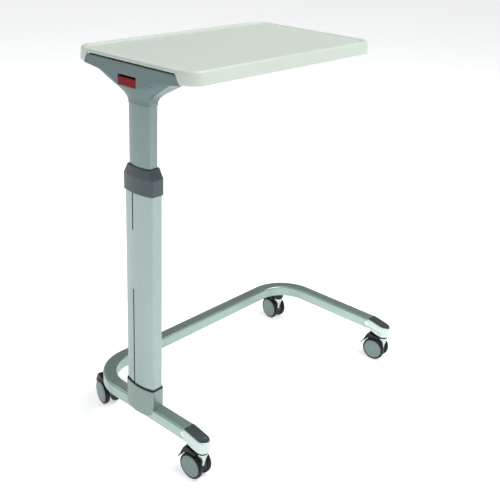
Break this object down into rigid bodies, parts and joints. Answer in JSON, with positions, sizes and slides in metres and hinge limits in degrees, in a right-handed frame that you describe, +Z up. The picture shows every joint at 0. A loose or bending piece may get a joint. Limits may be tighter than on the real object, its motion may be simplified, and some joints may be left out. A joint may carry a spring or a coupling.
{
  "type": "overbed table",
  "caption": "Height-adjustable overbed table: U-shaped castor base, telescopic side column with squeeze lever, cantilevered moulded tray.",
  "frame": {"origin": "centre of the bounding box on the floor, with the table standing on its castors at rest height", "axes": "+Z up; +X from the leg under the column towards the far leg, along the tray's length; +Y from the open mouth of the base towards its cross tube"},
  "size_m": [0.7976, 0.4424, 0.946],
  "materials": {
    "tray_plastic": "satin, finely textured moulded tray",
    "frame_coat": "satin metallic grey-green coat",
    "cast_silver": "satin silver coat on castings",
    "anodised": "satin anodised extrusion",
    "inner_anodised": "satin grey anodised extrusion",
    "grey_plastic": "satin blue-grey moulding",
    "bracket_coat": "satin blue-grey coat on casting",
    "black_plastic": "satin black moulding",
    "black_rubber": "matt black gasket",
    "tyre": "satin black tread",
    "hub_plastic": "satin grey hub cover",
    "lever_red": "satin deep red",
    "steel": "zinc plated",
    "nylon": "natural nylon",
    "spring_black": "black coat"
  },
  "bodies": {
    "base": {"base_frame": "frame_coat", "end_cap_left": "cast_silver", "end_cap_right": "cast_silver", "end_cap_insert_left": "grey_plastic", "end_cap_insert_right": "grey_plastic", "castor_sockets": "black_plastic", "column_shoe": "cast_silver", "shoe_gasket": "black_rubber", "shoe_bolts": "steel", "outer_column": "anodised", "column_stripes": "black_rubber", "column_collar": "grey_plastic", "guide_bush": "nylon", "gas_spring_cylinder": "spring_black"},
    "mast": {"inner_column": "inner_anodised", "inner_slider": "nylon", "gas_spring_rod": "steel", "bracket_body": "bracket_coat", "bracket_cover": "grey_plastic", "lever_pin": "steel", "support_frame": "steel", "tray_screws": "steel", "table_tray": "tray_plastic"},
    "release_lever": {"release_lever": "lever_red"},
    "valve_pin": {"valve_pin": "steel"},
    "castor_front_left": {"castor_front_left_stem": "steel", "castor_front_left_housing": "cast_silver", "castor_front_left_hood": "black_plastic", "castor_front_left_axle": "steel"},
    "castor_front_left_wheel_left": {"castor_front_left_tyre_left": "tyre", "castor_front_left_hub_left": "hub_plastic"},
    "castor_front_left_wheel_right": {"castor_front_left_tyre_right": "tyre", "castor_front_left_hub_right": "hub_plastic"},
    "castor_front_left_brake": {"castor_front_left_brake_pedal": "black_plastic"},
    "castor_front_right": {"castor_front_right_stem": "steel", "castor_front_right_housing": "cast_silver", "castor_front_right_hood": "black_plastic", "castor_front_right_axle": "steel"},
    "castor_front_right_wheel_left": {"castor_front_right_tyre_left": "tyre", "castor_front_right_hub_left": "hub_plastic"},
    "castor_front_right_wheel_right": {"castor_front_right_tyre_right": "tyre", "castor_front_right_hub_right": "hub_plastic"},
    "castor_front_right_brake": {"castor_front_right_brake_pedal": "black_plastic"},
    "castor_rear_left": {"castor_rear_left_stem": "steel", "castor_rear_left_housing": "cast_silver", "castor_rear_left_hood": "black_plastic", "castor_rear_left_axle": "steel"},
    "castor_rear_left_wheel_left": {"castor_rear_left_tyre_left": "tyre", "castor_rear_left_hub_left": "hub_plastic"},
    "castor_rear_left_wheel_right": {"castor_rear_left_tyre_right": "tyre", "castor_rear_left_hub_right": "hub_plastic"},
    "castor_rear_right": {"castor_rear_right_stem": "steel", "castor_rear_right_housing": "cast_silver", "castor_rear_right_hood": "black_plastic", "castor_rear_right_axle": "steel"},
    "castor_rear_right_wheel_left": {"castor_rear_right_tyre_left": "tyre", "castor_rear_right_hub_left": "hub_plastic"},
    "castor_rear_right_wheel_right": {"castor_rear_right_tyre_right": "tyre", "castor_rear_right_hub_right": "hub_plastic"}
  },
  "joints": [
    {"name": "height_slide", "type": "slide", "parent": "base", "child": "mast", "axis": [0, 0, 1], "range_m": [-0.125, 0.225]},
    {"name": "release_lever_pivot", "type": "hinge", "parent": "mast", "child": "release_lever", "pos_m": [-0.37038, -0.00124, 0.899], "axis": [0, 1, 0], "range_deg": [0, 10], "stiffness_Nm_per_rad": 0.6, "springref_deg": -8.59},
    {"name": "valve_pin_slide", "type": "slide", "parent": "mast", "child": "valve_pin", "axis": [0, 0, 1], "range_m": [-0.0024, 0.0002]},
    {"name": "castor_front_left_swivel", "type": "hinge", "parent": "base", "child": "castor_front_left", "pos_m": [-0.36038, -0.20424, 0.0755], "axis": [0, 0, 1], "continuous": true},
    {"name": "castor_front_left_wheel_left_spin", "type": "hinge", "parent": "castor_front_left", "child": "castor_front_left_wheel_left", "pos_m": [-0.36125, -0.18426, 0.0325], "axis": [0.999, 0.0436, 0], "continuous": true},
    {"name": "castor_front_left_wheel_right_spin", "type": "hinge", "parent": "castor_front_left", "child": "castor_front_left_wheel_right", "pos_m": [-0.36125, -0.18426, 0.0325], "axis": [0.999, 0.0436, 0], "continuous": true},
    {"name": "castor_front_left_brake_pivot", "type": "hinge", "parent": "castor_front_left", "child": "castor_front_left_brake", "pos_m": [-0.36236, -0.15879, 0.0635], "axis": [0.999, 0.0436, 0], "range_deg": [-8, 0]},
    {"name": "castor_front_right_swivel", "type": "hinge", "parent": "base", "child": "castor_front_right", "pos_m": [0.37702, -0.20424, 0.0755], "axis": [0, 0, 1], "continuous": true},
    {"name": "castor_front_right_wheel_left_spin", "type": "hinge", "parent": "castor_front_right", "child": "castor_front_right_wheel_left", "pos_m": [0.37493, -0.18435, 0.0325], "axis": [0.9945, 0.1045, 0], "continuous": true},
    {"name": "castor_front_right_wheel_right_spin", "type": "hinge", "parent": "castor_front_right", "child": "castor_front_right_wheel_right", "pos_m": [0.37493, -0.18435, 0.0325], "axis": [0.9945, 0.1045, 0], "continuous": true},
    {"name": "castor_front_right_brake_pivot", "type": "hinge", "parent": "castor_front_right", "child": "castor_front_right_brake", "pos_m": [0.37227, -0.15899, 0.0635], "axis": [0.9945, 0.1045, 0], "range_deg": [-8, 0]},
    {"name": "castor_rear_left_swivel", "type": "hinge", "parent": "base", "child": "castor_rear_left", "pos_m": [-0.32558, 0.16597, 0.0755], "axis": [0, 0, 1], "continuous": true},
    {"name": "castor_rear_left_wheel_left_spin", "type": "hinge", "parent": "castor_rear_left", "child": "castor_rear_left_wheel_left", "pos_m": [-0.32064, 0.18535, 0.0325], "axis": [0.969, -0.247, 0], "continuous": true},
    {"name": "castor_rear_left_wheel_right_spin", "type": "hinge", "parent": "castor_rear_left", "child": "castor_rear_left_wheel_right", "pos_m": [-0.32064, 0.18535, 0.0325], "axis": [0.969, -0.247, 0], "continuous": true},
    {"name": "castor_rear_right_swivel", "type": "hinge", "parent": "base", "child": "castor_rear_right", "pos_m": [0.34223, 0.16597, 0.0755], "axis": [0, 0, 1], "continuous": true},
    {"name": "castor_rear_right_wheel_left_spin", "type": "hinge", "parent": "castor_rear_right", "child": "castor_rear_right_wheel_left", "pos_m": [0.34522, 0.18574, 0.0325], "axis": [0.9888, -0.1495, 0], "continuous": true},
    {"name": "castor_rear_right_wheel_right_spin", "type": "hinge", "parent": "castor_rear_right", "child": "castor_rear_right_wheel_right", "pos_m": [0.34522, 0.18574, 0.0325], "axis": [0.9888, -0.1495, 0], "continuous": true}
  ],
  "couplings": [
    {"joint": "valve_pin_slide", "follows": "release_lever_pivot", "m_per_rad": -0.0125}
  ]
}
